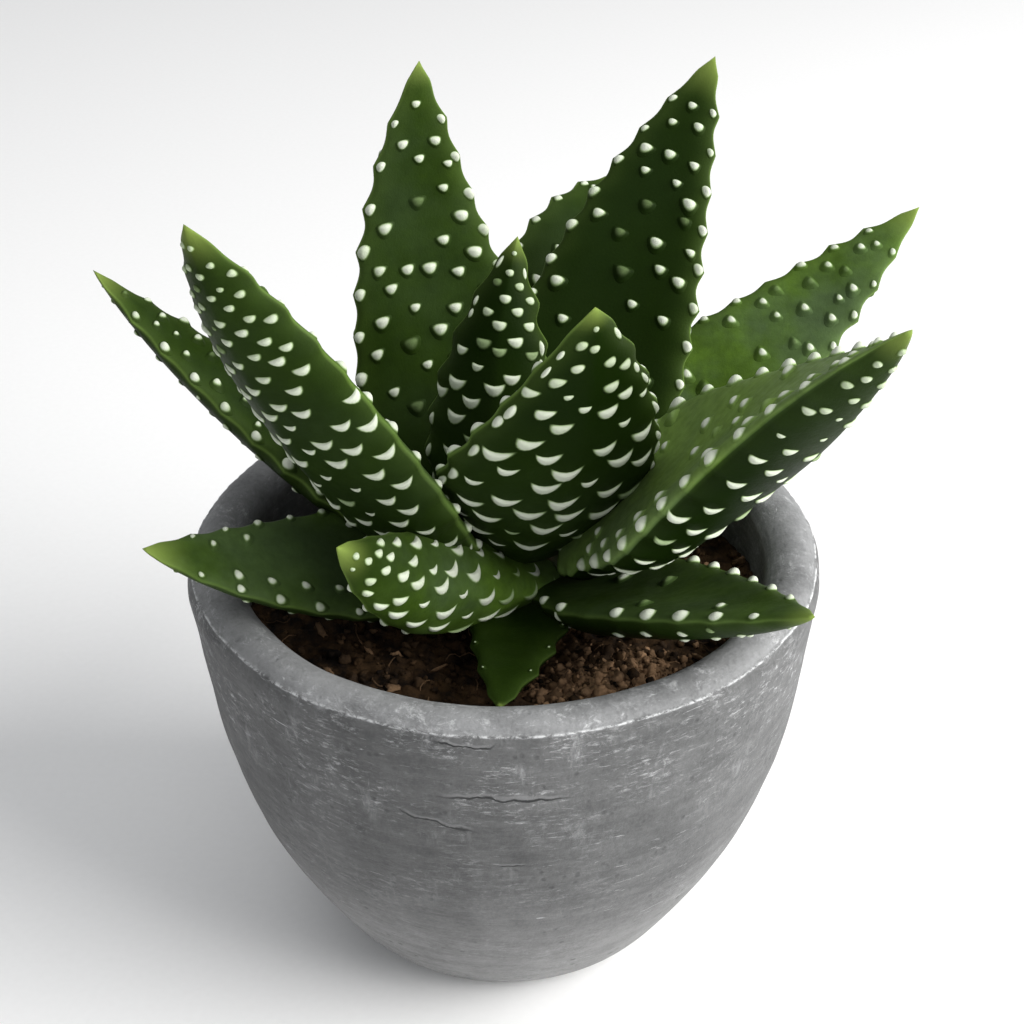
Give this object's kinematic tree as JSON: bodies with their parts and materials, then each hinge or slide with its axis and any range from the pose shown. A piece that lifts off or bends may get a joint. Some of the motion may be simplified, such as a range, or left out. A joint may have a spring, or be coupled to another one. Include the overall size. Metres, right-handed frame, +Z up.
{
  "type": "potted succulent",
  "caption": "Small rosette succulent with pointed leaves covered in raised white spots, in a round cup-shaped cement planter with a thick rounded lip.",
  "frame": {"origin": "centre of the flat base that the planter stands on", "axes": "+Z up, +X to the right and +Y to the back of the view in the picture"},
  "size_m": [0.1055, 0.092, 0.1156],
  "materials": {
    "cement": "matte, cast cement with scuffs",
    "soil": "rough potting soil",
    "stem": "matte",
    "leaf": "satin, fleshy leaf with white raised spots"
  },
  "bodies": {
    "root": {"pot": "cement", "soil": "soil", "stem": "stem", "leaf_heart_front": "leaf", "leaf_heart_back": "leaf", "leaf_inner_front": "leaf", "leaf_inner_left": "leaf", "leaf_inner_back": "leaf", "leaf_tall_left": "leaf", "leaf_tall_right": "leaf", "leaf_front_right": "leaf", "leaf_front_left": "leaf", "leaf_behind_right": "leaf", "leaf_far_right": "leaf", "leaf_far_left": "leaf", "leaf_low_front_left": "leaf", "leaf_low_right": "leaf", "leaf_low_left": "leaf", "leaf_back_left": "leaf", "leaf_low_back_left": "leaf", "leaf_low_back_right": "leaf", "leaf_low_back": "leaf", "leaf_low_front": "leaf"}
  },
  "joints": []
}
